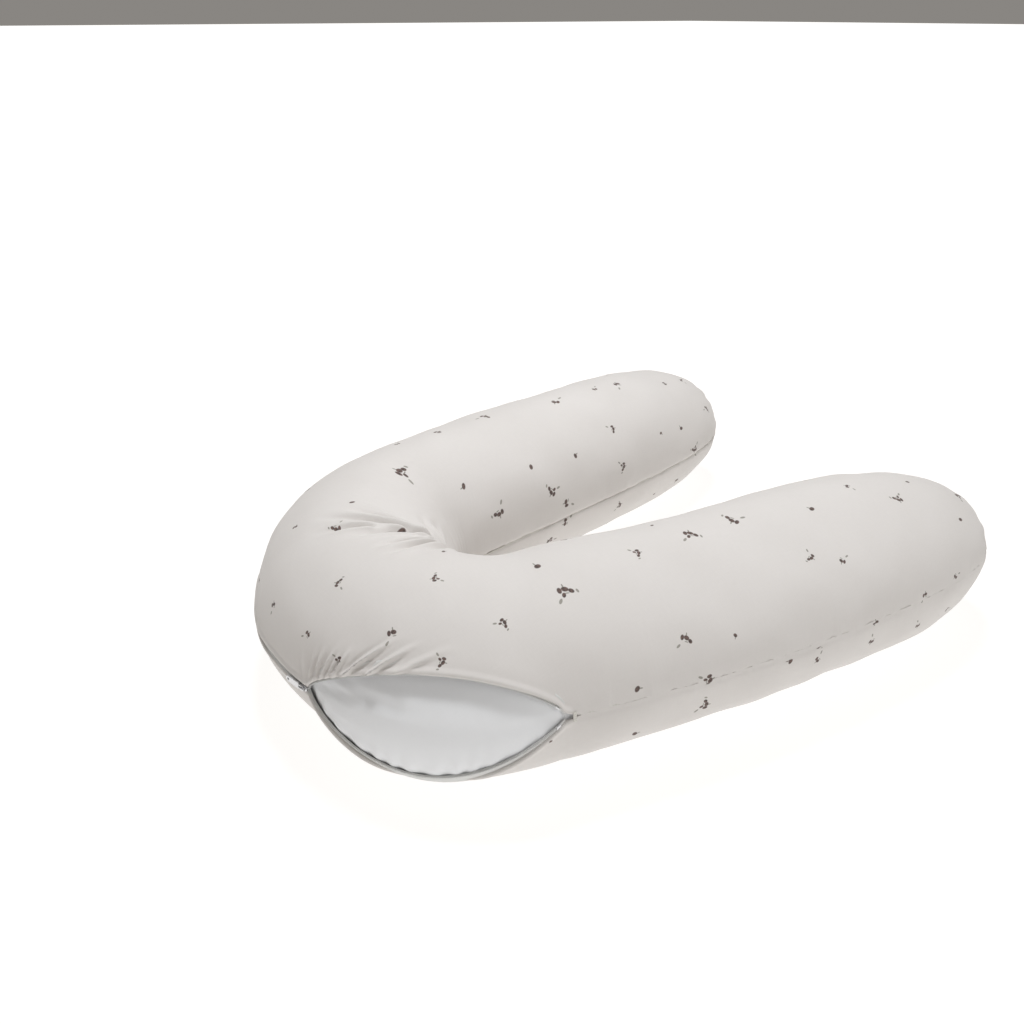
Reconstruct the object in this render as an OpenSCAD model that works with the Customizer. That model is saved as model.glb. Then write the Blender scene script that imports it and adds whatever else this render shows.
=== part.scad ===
// Nursing pillow: a stuffed U-shaped tube in a zipped cotton cover, millimetres.
// The origin is on the surface that it rests on, under the middle of its box; the U opens towards +X.

/* [Tube] */
// Width of the stuffed tube
tube_w = 220; // [200:5:240]
// Height of the tube as a share of its width
tube_share = 0.95; // [0.9:0.01:1]
// How far its own weight flattens the underside
floor_sink = 6; // [2:1:10]
// Radius of the bend, to the middle of the tube
bend_r = 161; // [155:1:180]
// Length of the tapered part of each arm
taper_len = 322; // [280:1:360]
// How blunt the tapered end is, 2 being an ellipse
taper_power = 2.8; // [2:0.1:3.2]
// How far the ends stay up instead of dropping to the surface
tip_lift = 0.82; // [0.5:0.02:1]

/* [Arms] */
// Length of the front arm, from the bend
front_len = 583; // [540:1:620]
// Angle that the front arm opens outwards
front_splay = 13.3; // [5:0.1:18]
// How far the front arm's end curls back inwards
front_curl = 66; // [0:1:80]
// Length of the back arm, from the bend
back_len = 578; // [540:1:620]
// Angle that the back arm opens outwards
back_splay = 8.2; // [5:0.1:18]
// How far the back arm's end curls back inwards
back_curl = 13; // [0:1:80]
// Where each arm flexes, along the tube from the middle of the bend
flex_at = 320; // [300:5:380]
// Space between the bend and an arm where it flexes, each side
flex_gap = 0.5; // [0.4:0.1:1]

/* [Layers] */
// Thickness of the cover's cloth
cover_t = 1.2; // [0.8:0.1:1.6]
// Depth of the inner casing under the cover's face
casing_depth = 5; // [4.5:0.5:8]
// Thickness of the casing's cloth
casing_t = 1; // [0.6:0.1:1.4]
// Space between the casing and its filling
filling_gap = 1.5; // [1:0.1:3]
// Diameter of the overlock thread along each seam
thread_d = 1.8; // [1.2:0.1:2]
// Angle of the cover's inner seam round the tube, 180 being level
inner_seam = 184.5; // [176:0.5:190]
// Angle of the casing's outer seam round the tube
casing_seam = -45; // [-60:1:-40]

/* [Zip] */
// Where the opening starts, along the tube from the middle of the bend
open_start = 38; // [30:1:60]
// Where the opening ends
open_end = 193; // [180:1:196]
// Where the closed zip ends, on the other side of the bend
zip_tail = 150; // [120:1:150]
// Rise of the outer seam from the closed zip to the arms, degrees round the tube
seam_rise = 8.5; // [0:0.5:12]
// Angle that the upper lip is lifted, at the middle of the opening
lip_up = 26; // [10:1:32]
// Angle that the lower lip is pulled down, at the middle of the opening
lip_down = 25; // [10:1:32]
// How far the lower lip gapes away from the casing
lip_bulge = 18.5; // [10:0.5:22]
// How far the upper lip stands away
hem_lift = 3; // [1:0.5:5]
// Distance from the zip's middle line to the cloth, each side
hem_gap = 4; // [3.8:0.1:5]
// Width of each half of the coil chain
coil_w = 1.8; // [1.4:0.1:2]
// Width of each zip tape
tape_w = 14.5; // [10:0.5:16]

/* [Slider] */
// Length of the slider
slider_len = 10; // [8:0.5:12]
// Width of the slider
slider_w = 7; // [6.8:0.1:7.2]
// Length of the pull tab past its pin
tab_len = 26; // [18:1:30]
// Width of the pull tab
tab_w = 7; // [5:0.5:8]

/* [Hidden] */

tube_r = tube_w / 2;
box_middle = [138.96, -4.39];   // the middle of the whole box, from the bend's centre
casing_in = casing_depth + casing_t;
filling_depth = casing_in + filling_gap;
thread_depth = cover_t + 0.5 + thread_d / 2;
coil_gap = 0.5;                 // half the slit between the two coils
coil_face = 0.35;               // the coil stands this far out of the cover's face
tape_face = cover_t + 0.3;      // the tape is sewn behind the cloth
tape_t = 0.6;
sewn = 0.15;                    // half the slit between two panels at a seam
open_len = open_end - open_start;

// Angle round the tube that spans a width of cloth
function deg(width) = width * 180 / (PI * tube_r);
function smooth(x) = let(c = min(max(x, 0), 1)) c * c * (3 - 2 * c);

// The centreline. s runs from the middle of the bend: above 0 on the front arm, below 0 on the back arm.
function splay(s) = s >= 0 ? front_splay : back_splay;
function arm_len(s) = s >= 0 ? front_len : back_len;
function curl(s) = s >= 0 ? front_curl : back_curl;
function arc_len(s) = bend_r * (90 - splay(s)) * PI / 180;
function to_tip(s) = arc_len(s) + arm_len(s) - abs(s);
function arm_share(s) = max(abs(s) - arc_len(s), 0) / arm_len(s);
function turn(s) = 180 + sign(s) * min(abs(s), arc_len(s)) * 180 / (PI * bend_r);
function arm_dir(s) = [cos(splay(s)), -sign(s) * sin(splay(s))];
function arm_in(s) = [sin(splay(s)), sign(s) * cos(splay(s))];
function middle(s) = bend_r * [cos(turn(s)), sin(turn(s))]
    + arm_len(s) * arm_share(s) * arm_dir(s) + curl(s) * pow(arm_share(s), 2) * arm_in(s);
function away(s) = abs(s) <= arc_len(s)
    ? sign(s) * [-sin(turn(s)), cos(turn(s))]
    : let(d = arm_dir(s) + 2 * curl(s) * arm_share(s) / arm_len(s) * arm_in(s)) d / norm(d);
function outward(s) = abs(s) <= arc_len(s)
    ? [cos(turn(s)), sin(turn(s))]
    : sign(s) * [away(s)[1], -away(s)[0]];

// The tube's radius, and the direction of its face seen from the side: [share outwards, share endwards]
function taper_left(s) = min(max(1 - to_tip(s) / taper_len, 0), 1);
function taper(s) = pow(max(1 - pow(taper_left(s), taper_power), 0), 1 / taper_power);
function radius(s) = tube_r * taper(s);
function facing(s) = let(f = [pow(taper(s), taper_power - 1) / tube_r,
                              pow(taper_left(s), taper_power - 1) / taper_len]) f / norm(f);
function height(s) = tube_share * (tip_lift * tube_r + (1 - tip_lift) * radius(s)) - floor_sink;

// A point on the tube: a is the angle round it (0 outwards, 90 up), off is outwards from the cover's face,
// and lift moves a lip away from the tube.
function skin(s, a, off = 0, lift = 0) = let(
    f = facing(s),
    across = max(radius(s) + off * f[0], 0) + lift,
    up = max(tube_share * radius(s) + off * f[0], 0) + lift,
    p = middle(s) + across * cos(a) * outward(s) + off * f[1] * away(s))
    [p[0], p[1], max(height(s) + up * sin(a), -off)];

// The zip and its opening. x is the distance from the zip's middle line into the cloth.
function lens(s) = s <= open_start || s >= open_end ? 0 : sin(180 * (s - open_start) / open_len);
function seam(s) = s > 0
    ? seam_rise * smooth((s - open_start) / open_len)
    : seam_rise * smooth((-s - zip_tail) / 100);
function zipped(s) = smooth((s + zip_tail + 14) / 14) * smooth((open_end + 10 - s) / 10);
function hem(s) = sewn + (hem_gap - sewn) * zipped(s);
function upper(s, x) = seam(s) + lip_up * pow(lens(s), 0.65) + deg(x);
function lower(s, x) = seam(s) - lip_down * pow(lens(s), 0.95) - deg(x);
function upper_lift(s, a) = hem_lift * lens(s) * (1 - smooth((a - upper(s, 0)) / 25));
function lower_lift(s, a) = lip_bulge * pow(lens(s), 0.8) * (1 - smooth((lower(s, 0) - a) / 65));

// Stations along the tube, always towards the front arm's tip
function tip_stations(side) = [for (a = [90 : -10 : 0])
    side * (arc_len(side) + arm_len(side) - taper_len * (1 - pow(cos(a), 2 / taper_power)))];
function steps(from, to, count) = [for (i = [0 : count - 1]) from + (to - from) * i / count];
function backwards(list) = [for (i = [len(list) - 1 : -1 : 0]) list[i]];
bend_end = flex_at - flex_gap;
arm_start = flex_at + flex_gap;
bend_stations = concat(
    steps(-bend_end, -arc_len(-1), 2),
    steps(-arc_len(-1), -zip_tail - 14, 4),
    steps(-zip_tail - 14, -zip_tail, 2),
    steps(-zip_tail, open_start, 11),
    [for (i = [0 : 15]) (open_start + open_end - open_len * cos(180 * i / 16)) / 2],
    [open_end, open_end + 5, open_end + 10],
    steps(arc_len(1), bend_end, 2),
    [bend_end]);
front_stations = concat(steps(arm_start, arc_len(1) + front_len - taper_len, 3), tip_stations(1));
back_stations = concat(
    backwards(tip_stations(-1)), backwards(steps(-arm_start, -arc_len(-1) - back_len + taper_len, 3)));
function between(list, from, to) = concat([from], [for (s = list) if (s > from + 1 && s < to - 1) s], [to]);

// Angles round the tube at one station: fine steps next to the zip, then wide ones
function angles(from, to, fine, wide) = let(d = to > from ? 3 : -3) concat(
    [for (i = [0 : fine - 1]) from + d * i],
    [for (i = [0 : wide]) from + d * fine + (to - from - d * fine) * i / wide]);
function cover_top_angles(s) = angles(upper(s, hem(s)), inner_seam - deg(sewn), 3, 9);
function cover_bottom_angles(s) = backwards(angles(lower(s, hem(s)), inner_seam - 360 + deg(sewn), 3, 9));
function casing_top_angles(s) = angles(casing_seam + deg(sewn), inner_seam - deg(sewn), 0, 11);
function casing_bottom_angles(s) = angles(inner_seam - 360 + deg(sewn), casing_seam - deg(sewn), 0, 7);

// Faces between rings of points; each ring runs round the tube in the direction of rising angle.
function wall(rings, n) = [for (i = [0 : rings - 2], k = [0 : n - 1], side = [0, 1]) let(j = (k + 1) % n)
    side == 0 ? [i * n + k, i * n + j, (i + 1) * n + j] : [i * n + k, (i + 1) * n + j, (i + 1) * n + k]];

// A solid through rings whose end faces are convex
module loft(rings) {
    n = len(rings[0]);
    last = (len(rings) - 1) * n;
    polyhedron([for (r = rings) each r], concat(wall(len(rings), n),
        [[for (k = [n - 1 : -1 : 0]) k]], [[for (k = [0 : n - 1]) last + k]]));
}

// A layer of cloth: a strip of the tube's face from depth o1 to depth o2
module cloth(stations, angles_at, o1, o2, lift_at = function(s, a) 0) {
    rings = [for (s = stations) concat(
        [for (a = angles_at(s)) skin(s, a, -o1, lift_at(s, a))],
        [for (a = backwards(angles_at(s))) skin(s, a, -o2, lift_at(s, a))])];
    n = len(rings[0]);
    last = (len(rings) - 1) * n;
    polyhedron([for (r = rings) each r], concat(wall(len(rings), n),
        [for (k = [0 : n / 2 - 2]) [k, n - 1 - k, n - 2 - k, k + 1]],
        [for (k = [0 : n / 2 - 2]) [last + k, last + k + 1, last + n - 2 - k, last + n - 1 - k]]));
}

// The stuffing, one closed tube
module stuffing(stations) {
    loft([for (s = stations)
        [for (a = concat(casing_top_angles(s), casing_bottom_angles(s))) skin(s, a, -filling_depth)]]);
}

// A round thread along the tube, under the cover's cloth
module thread(stations, angle_at) {
    loft([for (s = stations) [for (a = [0 : 60 : 300])
        skin(s, angle_at(s) + deg(thread_d / 2 * sin(a)), -thread_depth + thread_d / 2 * cos(a))]]);
}

// A strip of the zip, x1 to x2 from its middle line and out1 to out2 from the cover's face
module upper_strip(from, to, x1, x2, out1, out2) {
    function at(s, x, out) = skin(s, upper(s, x), out, upper_lift(s, upper(s, x)));
    loft([for (s = between(bend_stations, from, to))
        [at(s, x1, out2), at(s, x2, out2), at(s, x2, out1), at(s, x1, out1)]]);
}
module lower_strip(from, to, x1, x2, out1, out2) {
    function at(s, x, out) = skin(s, lower(s, x), out, lower_lift(s, lower(s, x)));
    loft([for (s = between(bend_stations, from, to))
        [at(s, x2, out2), at(s, x1, out2), at(s, x1, out1), at(s, x2, out1)]]);
}

module centred() { translate([-box_middle[0], -box_middle[1], 0]) children(); }

// The frame of the closed zip at s: X outwards from the cover's face, Y towards the opening
module at_zip(s) {
    centred() rotate([0, 0, turn(s)]) translate([bend_r + tube_r, 0, height(0)]) children();
}

// The cover
module cover_top_bend() {
    color("#e6e2da") centred() cloth(bend_stations, function(s) cover_top_angles(s), 0, cover_t,
        function(s, a) upper_lift(s, a));
}
module cover_top_front_arm() {
    color("#e6e2da") centred() cloth(front_stations, function(s) cover_top_angles(s), 0, cover_t);
}
module cover_top_back_arm() {
    color("#e6e2da") centred() cloth(back_stations, function(s) cover_top_angles(s), 0, cover_t);
}
module cover_bottom_bend() {
    color("#dedad1") centred() cloth(bend_stations, function(s) cover_bottom_angles(s), 0, cover_t,
        function(s, a) lower_lift(s, a));
}
module cover_bottom_front_arm() {
    color("#dedad1") centred() cloth(front_stations, function(s) cover_bottom_angles(s), 0, cover_t);
}
module cover_bottom_back_arm() {
    color("#dedad1") centred() cloth(back_stations, function(s) cover_bottom_angles(s), 0, cover_t);
}

// The inner cushion: its casing and the filling
module casing_top_bend() {
    color("white") centred() cloth(bend_stations, function(s) casing_top_angles(s), casing_depth, casing_in);
}
module casing_top_front_arm() {
    color("white") centred() cloth(front_stations, function(s) casing_top_angles(s), casing_depth, casing_in);
}
module casing_top_back_arm() {
    color("white") centred() cloth(back_stations, function(s) casing_top_angles(s), casing_depth, casing_in);
}
module casing_bottom_bend() {
    color("white") centred()
        cloth(bend_stations, function(s) casing_bottom_angles(s), casing_depth, casing_in);
}
module casing_bottom_front_arm() {
    color("white") centred()
        cloth(front_stations, function(s) casing_bottom_angles(s), casing_depth, casing_in);
}
module casing_bottom_back_arm() {
    color("white") centred()
        cloth(back_stations, function(s) casing_bottom_angles(s), casing_depth, casing_in);
}
module filling_bend() { color("whitesmoke") centred() stuffing(bend_stations); }
module filling_front_arm() { color("whitesmoke") centred() stuffing(front_stations); }
module filling_back_arm() { color("whitesmoke") centred() stuffing(back_stations); }

// The overlock threads; they stop just short of the tips
tip_stop = 6;
front_end = arc_len(1) + front_len - tip_stop;
back_end = -arc_len(-1) - back_len + tip_stop;
module inner_seam_thread_bend() {
    color("ivory") centred() thread(bend_stations, function(s) inner_seam);
}
module inner_seam_thread_front_arm() {
    color("ivory") centred() thread(between(front_stations, arm_start, front_end), function(s) inner_seam);
}
module inner_seam_thread_back_arm() {
    color("ivory") centred() thread(between(back_stations, back_end, -arm_start), function(s) inner_seam);
}
module outer_seam_thread_bend() {
    color("ivory") centred() {
        thread(between(bend_stations, open_end + 10, bend_end), function(s) seam(s));
        thread(between(bend_stations, -bend_end, -zip_tail - 14), function(s) seam(s));
    }
}
module outer_seam_thread_front_arm() {
    color("ivory") centred() thread(between(front_stations, arm_start, front_end), function(s) seam(s));
}
module outer_seam_thread_back_arm() {
    color("ivory") centred() thread(between(back_stations, back_end, -arm_start), function(s) seam(s));
}

// The zip
module zip_tape_upper() {
    color("gainsboro") centred()
        upper_strip(-zip_tail, open_end, coil_gap, coil_gap + tape_w, -tape_face - tape_t, -tape_face);
}
module zip_tape_lower() {
    color("gainsboro") centred()
        lower_strip(-zip_tail, open_end, coil_gap, coil_gap + tape_w, -tape_face - tape_t, -tape_face);
}
coil_end = open_end - 6;
module zip_coil_upper() {
    color("silver") centred()
        upper_strip(-zip_tail, coil_end, coil_gap, coil_gap + coil_w, 0.05 - tape_face, coil_face);
}
module zip_coil_lower() {
    color("silver") centred()
        lower_strip(-zip_tail, coil_end, coil_gap, coil_gap + coil_w, 0.05 - tape_face, coil_face);
}
module zip_top_stops() {
    stop_from = coil_end + 0.2;
    stop_to = coil_end + 2.7;
    near = coil_gap - 0.2;
    far = coil_gap + coil_w + 0.3;
    color("darkgray") centred() {
        upper_strip(stop_from, stop_to, near, far, 0.05 - tape_face, 0.6);
        lower_strip(stop_from, stop_to, near, far, 0.05 - tape_face, 0.6);
    }
}
module zip_bottom_stop() {
    color("darkgray") at_zip(-zip_tail - 2) translate([-tape_face, -1.2, -3]) cube([tape_face + 0.6, 2.4, 6]);
}
// A bar tack bridges the two panels just proud of their faces
tack_face = 0.4;
tack_t = 0.6;
tack_w = 10;
module bar_tack(s) {
    loft([for (t = [s, s + 2])
        [for (q = [[-1, tack_face + tack_t], [1, tack_face + tack_t], [1, tack_face], [-1, tack_face]])
            skin(t, seam(t) + deg(q[0] * tack_w / 2), q[1])]]);
}
module zip_bar_tacks() {
    color("ivory") centred() {
        bar_tack(open_end + 4);
        bar_tack(-zip_tail - 10);
    }
}

// The slider, just short of the opening
slider_at = open_start - slider_len / 2 * bend_r / (bend_r + tube_r) - 0.6;
plate_face = coil_face + 0.4;    // underside of the slider's outer plate
plate_t = 1;
plate_top = plate_face + plate_t;
back_plate = -tape_face - tape_t - 0.6;
pin_at = plate_top + 1.15;
pin_r = 0.7;
bail_w = 1.4;
module slider_plate(x, thick) {
    end_r = slider_w / 2 - 0.6;
    translate([x, 0, 0]) rotate([90, 0, 90]) linear_extrude(thick) {
        square([slider_len - 2 * end_r, slider_w], center = true);
        for (y = [-1, 1]) translate([y * (slider_len / 2 - end_r), 0]) circle(end_r, $fn = 48);
    }
}
module slider_body() {
    flange = 0.7;
    side = slider_len - slider_w + 1.2;
    color("silver") at_zip(slider_at) {
        slider_plate(plate_face, plate_t);
        slider_plate(back_plate - plate_t, plate_t);
        for (z = [-1, 1]) translate([-0.9, -side / 2, z * (slider_w - flange) / 2 - flange / 2])
            cube([plate_face + 0.95, side, flange]);
        translate([back_plate - 0.05, 1, -0.2]) cube([plate_face - back_plate + 0.1, 2.6, 0.4]);
    }
}
module slider_bail() {
    color("silver") at_zip(slider_at) translate([plate_top, 0, -bail_w / 2])
    linear_extrude(bail_w) difference() {
        union() {
            translate([0, -3.4]) square([2.2, 6.8]);
            translate([2.2, -2.4]) square([1, 4.8]);
            for (y = [-2.4, 2.4]) translate([2.2, y]) circle(1, $fn = 40);
        }
        translate([-0.1, -2.4]) square([2.3, 4.8]);
    }
}
module pull_tab() {
    arm_z = bail_w / 2 + 0.4;
    arm_t = 1.2;
    neck = 6;
    color("silver") at_zip(slider_at) translate([pin_at, 0, 0]) difference() {
        union() {
            translate([0, 0, -arm_z - arm_t]) cylinder(h = 2 * (arm_z + arm_t), r = pin_r, $fn = 40);
            for (z = [-arm_z - arm_t, arm_z]) translate([-pin_r, -neck, z]) cube([2 * pin_r, neck, arm_t]);
            rotate([0, 90, 0]) translate([0, 0, -pin_r]) linear_extrude(2 * pin_r) {
                translate([-tab_w / 2, -tab_len + tab_w / 2]) square([tab_w, tab_len - tab_w / 2 - neck]);
                translate([0, -tab_len + tab_w / 2]) circle(tab_w / 2, $fn = 60);
            }
        }
        translate([-2, -tab_len + tab_w / 2, 0]) rotate([0, 90, 0]) cylinder(h = 4, r = 1.5, $fn = 40);
    }
}

cover_top_bend();
cover_top_front_arm();
cover_top_back_arm();
cover_bottom_bend();
cover_bottom_front_arm();
cover_bottom_back_arm();
casing_top_bend();
casing_top_front_arm();
casing_top_back_arm();
casing_bottom_bend();
casing_bottom_front_arm();
casing_bottom_back_arm();
filling_bend();
filling_front_arm();
filling_back_arm();
inner_seam_thread_bend();
inner_seam_thread_front_arm();
inner_seam_thread_back_arm();
outer_seam_thread_bend();
outer_seam_thread_front_arm();
outer_seam_thread_back_arm();
zip_tape_upper();
zip_tape_lower();
zip_coil_upper();
zip_coil_lower();
zip_top_stops();
zip_bottom_stop();
zip_bar_tacks();
slider_body();
slider_bail();
pull_tab();
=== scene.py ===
"""A nursing pillow: a stuffed U-shaped tube in a printed cotton cover, its zip partly open.

Lengths in the formulas are in millimetres and angles round the tube in degrees, as in the CAD design, whose
tube formula is repeated here. s runs along the tube from the middle of the bend, above 0 on the front arm.
"""
import math

import bpy
import numpy as np
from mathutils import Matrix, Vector


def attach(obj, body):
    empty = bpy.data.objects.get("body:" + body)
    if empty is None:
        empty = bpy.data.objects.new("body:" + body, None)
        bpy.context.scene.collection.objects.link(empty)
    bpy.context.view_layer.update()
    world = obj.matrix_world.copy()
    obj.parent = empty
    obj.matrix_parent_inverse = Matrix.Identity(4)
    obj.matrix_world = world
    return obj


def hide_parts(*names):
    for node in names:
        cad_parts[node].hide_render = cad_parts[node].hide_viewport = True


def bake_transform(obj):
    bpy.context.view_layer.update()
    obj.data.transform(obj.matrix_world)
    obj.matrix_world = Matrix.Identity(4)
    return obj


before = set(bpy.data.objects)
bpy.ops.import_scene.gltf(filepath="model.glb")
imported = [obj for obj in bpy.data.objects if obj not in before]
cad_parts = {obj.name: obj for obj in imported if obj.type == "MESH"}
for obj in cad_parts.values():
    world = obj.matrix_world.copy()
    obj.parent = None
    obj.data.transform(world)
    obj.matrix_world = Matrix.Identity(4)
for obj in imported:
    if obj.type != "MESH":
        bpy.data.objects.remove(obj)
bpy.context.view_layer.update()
MM = 0.001

# The camera, at the photograph's viewing angle
CAMERA_TURN = math.radians(-35.208)
CAMERA_RISE = math.radians(27.897)
CAMERA_AWAY = 1.2369
CAMERA_AIM = Vector((-0.01636, 0.14989, 0.09565))
CAMERA_LENS = 32.5
CAMERA_SHIFT = -0.0109


def make_camera():
    level = math.cos(CAMERA_RISE)
    back = Vector((math.sin(CAMERA_TURN) * level, -math.cos(CAMERA_TURN) * level, math.sin(CAMERA_RISE)))
    lens_data = bpy.data.cameras.new("camera")
    lens_data.lens = CAMERA_LENS
    lens_data.sensor_width = 36.0
    lens_data.shift_y = CAMERA_SHIFT
    camera = bpy.data.objects.new("camera", lens_data)
    camera.location = CAMERA_AIM + back * CAMERA_AWAY
    camera.rotation_euler = (-back).to_track_quat("-Z", "Y").to_euler()
    bpy.context.collection.objects.link(camera)
    bpy.context.scene.camera = camera


make_camera()

# The tube, as in the CAD design
TUBE_R = 110.0
TUBE_SHARE = 0.95
FLOOR_SINK = 6.0
BEND_R = 161.0
TAPER_LEN = 322.0
TAPER_POWER = 2.8
TIP_LIFT = 0.82
ARM_LEN = (583.0, 578.0)          # front, back
ARM_SPLAY = (13.3, 8.2)
ARM_CURL = (66.0, 13.0)
BOX_MIDDLE = np.array([138.96, -4.39])
INNER_SEAM = 184.5
CASING_DEPTH = 5.0

# The zip and its opening, as in the CAD design
OPEN_START = 38.0
OPEN_END = 193.0
ZIP_TAIL = 150.0
SEAM_RISE = 8.5
LIP_UP = 26.0
LIP_DOWN = 25.0
LIP_BULGE = 18.5
HEM_LIFT = 3.0
HEM_GAP = 4.0
COIL_GAP = 0.5

# How far the cover's hems are moved off the lips, so that more of the tape shows below and less above
UPPER_BAND = -2.6
LOWER_BAND = 8.5

SPLIT_AT = 225.0                  # the bend's pieces end here and the arms' pieces begin


def deg(width):
    """The angle that a width over the tube's face spans."""
    return np.degrees(width / TUBE_R)


def arc_mm(angle):
    """The width over the tube's face that an angle spans."""
    return angle * TUBE_R * np.pi / 180


def smooth(x):
    x = np.clip(x, 0.0, 1.0)
    return x * x * (3 - 2 * x)


def by_side(s, pair):
    """The front arm's value or the back arm's."""
    return np.where(s >= 0, pair[0], pair[1])


def arc_len(s):
    """The bend's length on this side, before the arm begins."""
    return BEND_R * np.radians(90 - by_side(s, ARM_SPLAY))


def to_tip(s):
    """The distance left to the arm's tip."""
    return arc_len(s) + by_side(s, ARM_LEN) - np.abs(s)


def spine(s, bend_r=BEND_R):
    """The centreline at s: the point, the direction away from the bend, and the one outwards from the U."""
    side = np.where(s >= 0, 1.0, -1.0)
    splay, arc = np.radians(by_side(s, ARM_SPLAY)), arc_len(s)
    length, curl = by_side(s, ARM_LEN), by_side(s, ARM_CURL)
    turn = np.pi + side * np.minimum(np.abs(s), arc) / BEND_R
    share = np.maximum(np.abs(s) - arc, 0) / length
    along = np.stack([np.cos(splay), -side * np.sin(splay)], -1)
    inward = np.stack([np.sin(splay), side * np.cos(splay)], -1)
    point = bend_r * np.stack([np.cos(turn), np.sin(turn)], -1)
    point = point + along * (length * share)[..., None] + inward * (curl * share**2)[..., None]
    on_arc = np.stack([-side * np.sin(turn), side * np.cos(turn)], -1)
    on_arm = along + inward * (2 * curl * share / length)[..., None]
    away = np.where((np.abs(s) > arc)[..., None], on_arm, on_arc)
    away = away / np.linalg.norm(away, axis=-1, keepdims=True)
    return point, away, np.stack([side * away[..., 1], -side * away[..., 0]], -1)


def taper(s):
    """The tube's radius at s, and the shares of its face's direction: outwards and endwards."""
    left = np.clip(1 - to_tip(s) / TAPER_LEN, 0, 1)
    share = np.maximum(1 - left**TAPER_POWER, 0) ** (1 / TAPER_POWER)
    out, end = share ** (TAPER_POWER - 1) / TUBE_R, left ** (TAPER_POWER - 1) / TAPER_LEN
    size = np.hypot(out, end)
    return TUBE_R * share, out / size, end / size


def skin(s, a, off=0.0, lift=0.0, bend_r=BEND_R):
    """Points of the tube in metres: off is outwards from the cover's face, lift is away from the tube."""
    s, a, off, lift = np.broadcast_arrays(s, a, off, lift)
    point, away, outward = spine(s, bend_r)
    radius, out, end = taper(s)
    across = np.maximum(radius + off * out, 0) + lift
    up = np.maximum(TUBE_SHARE * radius + off * out, 0) + lift
    middle_z = TUBE_SHARE * (TIP_LIFT * TUBE_R + (1 - TIP_LIFT) * radius) - FLOOR_SINK
    angle = np.radians(a)
    flat = point + outward * (across * np.cos(angle))[..., None] + away * (off * end)[..., None] - BOX_MIDDLE
    z = np.maximum(middle_z + up * np.sin(angle), np.maximum(-off, 0))
    return np.concatenate([flat, z[..., None]], -1) * MM


# The zip's lines

def lens(s):
    """0 at both ends of the opening and 1 in its middle."""
    return np.sin(np.pi * np.clip((s - OPEN_START) / (OPEN_END - OPEN_START), 0, 1))


def seam(s):
    """The outer seam's angle."""
    front = smooth((s - OPEN_START) / (OPEN_END - OPEN_START))
    return SEAM_RISE * np.where(s > 0, front, smooth((-s - ZIP_TAIL) / 100))


def zipped(s):
    """1 along the zip, fading to 0 past both of its ends."""
    return smooth((s + ZIP_TAIL + 14) / 14) * smooth((OPEN_END + 10 - s) / 10)


def upper(s, x):
    """The angle x above the opening's upper lip."""
    return seam(s) + LIP_UP * lens(s) ** 0.65 + deg(x)


def lower(s, x):
    """The angle x below the opening's lower lip."""
    return seam(s) - LIP_DOWN * lens(s) ** 0.95 - deg(x)


def upper_lift(s, a):
    """How far the cloth by the upper lip stands off the tube."""
    return HEM_LIFT * lens(s) * (1 - smooth((a - upper(s, 0)) / 25))


def lower_lift(s, a):
    """How far the cloth by the lower lip stands off the tube."""
    return LIP_BULGE * lens(s) ** 0.8 * (1 - smooth((lower(s, 0) - a) / 65))


# Relief of the stuffed cloth

def waves(points, length, count, seed):
    """A smooth random field over points, about -1 to 1, in waves about as long as length, in metres."""
    rng = np.random.default_rng(seed)
    total = np.zeros(points.shape[:-1])
    for _ in range(count):
        direction = rng.normal(size=3)
        direction *= 2 * np.pi / (length * rng.uniform(0.7, 1.5) * np.linalg.norm(direction))
        total += np.sin(points @ direction + rng.uniform(0, 2 * np.pi))
    return total / math.sqrt(count)


def cloth_map(s, a):
    """Where a point of the cover lies on its panel, which is a flat U before it is stuffed."""
    point, _, outward = spine(s)
    crown = np.where(a > INNER_SEAM - 180, 90, -90)
    from_crown = np.where(crown > 0, 90 - a, 90 + a)
    gather = 0.62 + 0.38 * smooth((np.abs(s) - 150) / 150)
    width = TUBE_R * np.radians(from_crown) * np.where(from_crown < 0, gather, 1.0)
    return point + outward * width[..., None]


def metric(s, a):
    """Distances over the face near the bend, in millimetres: along it and round it."""
    bend = np.clip(1 - (np.abs(s) - 200) / 60, 0, 1)
    stretch = 1 + bend * TUBE_R * np.cos(np.radians(a)) / BEND_R
    return s * stretch, arc_mm(a)


def line_share(s, a, start, end):
    """Where points lie along a line over the face, as a share of it, and how far across, in millimetres."""
    x, y = metric(s, a)
    x0, y0 = metric(np.array(start[0]), np.array(start[1]))
    x1, y1 = metric(np.array(end[0]), np.array(end[1]))
    length = math.hypot(x1 - x0, y1 - y0)
    ux, uy = (x1 - x0) / length, (y1 - y0) / length
    return ((x - x0) * ux + (y - y0) * uy) / length, (y - y0) * ux - (x - x0) * uy


def fold(s, a, start, end, depth, width, bow=0.0, ridge=0.55, fade=1.3):
    """A crease from start to end, each (s, angle): a valley with a soft ridge on both sides."""
    t, across = line_share(s, a, start, end)
    across = across - bow * 4 * t * (1 - t)
    wide = width * (0.55 + 0.9 * np.clip(t, 0, 1))
    inside = np.clip(t, 0, 1)
    along = np.where((t > 0) & (t < 1), (inside**0.35) * (1 - inside) ** fade, 0)
    along = along / (0.35 / (0.35 + fade)) ** 0.35 / (fade / (0.35 + fade)) ** fade
    valley = -np.exp(-((across / wide) ** 2))
    ridges = ridge * (np.exp(-(((across - 1.9 * wide) / (1.2 * wide)) ** 2))
                      + np.exp(-(((across + 1.9 * wide) / (1.2 * wide)) ** 2)))
    return depth * along * (valley + ridges)


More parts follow.
